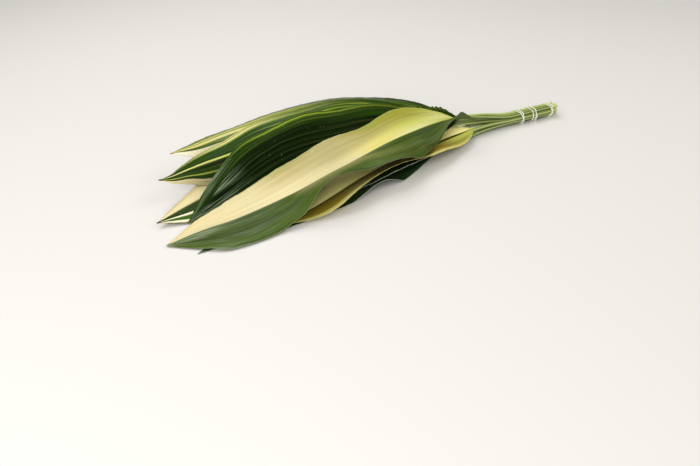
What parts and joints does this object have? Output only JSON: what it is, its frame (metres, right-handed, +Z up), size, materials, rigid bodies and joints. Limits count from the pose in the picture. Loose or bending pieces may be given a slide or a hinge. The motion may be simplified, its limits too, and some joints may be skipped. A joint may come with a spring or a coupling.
{
  "type": "bunch of cut cast iron plant leaves",
  "caption": "Tied bunch of long variegated cast iron plant leaves, green and cream, lying flat with their cut stalks bound by white elastic ties.",
  "frame": {"origin": "under the middle of the bunch, on the plane that it lies on", "axes": "+X along the bunch from the leaf tips to the cut stalk ends, +Y from the near side to the far side, +Z up"},
  "size_m": [0.7094, 0.258, 0.0826],
  "materials": {
    "leaf_dark": "waxy dark green leaf with fine parallel veins",
    "leaf_cream": "waxy leaf, one half cream and the other green with cream stripes",
    "leaf_olive": "waxy leaf, olive and cream",
    "leaf_green": "waxy green leaf with fine parallel veins",
    "leaf_striped": "waxy green leaf with cream and yellow-green stripes",
    "leaf_top": "waxy leaf, one half cream and the other grey-green",
    "tie_white": "off-white elastic cord"
  },
  "bodies": {
    "root": {"leaf_01": "leaf_dark", "leaf_02": "leaf_dark", "leaf_03": "leaf_cream", "leaf_04": "leaf_olive", "leaf_05": "leaf_dark", "leaf_06": "leaf_green", "leaf_07": "leaf_striped", "leaf_08": "leaf_striped", "leaf_09": "leaf_dark", "leaf_10": "leaf_top", "tie_01": "tie_white", "tie_02": "tie_white", "tie_03": "tie_white"}
  },
  "joints": []
}
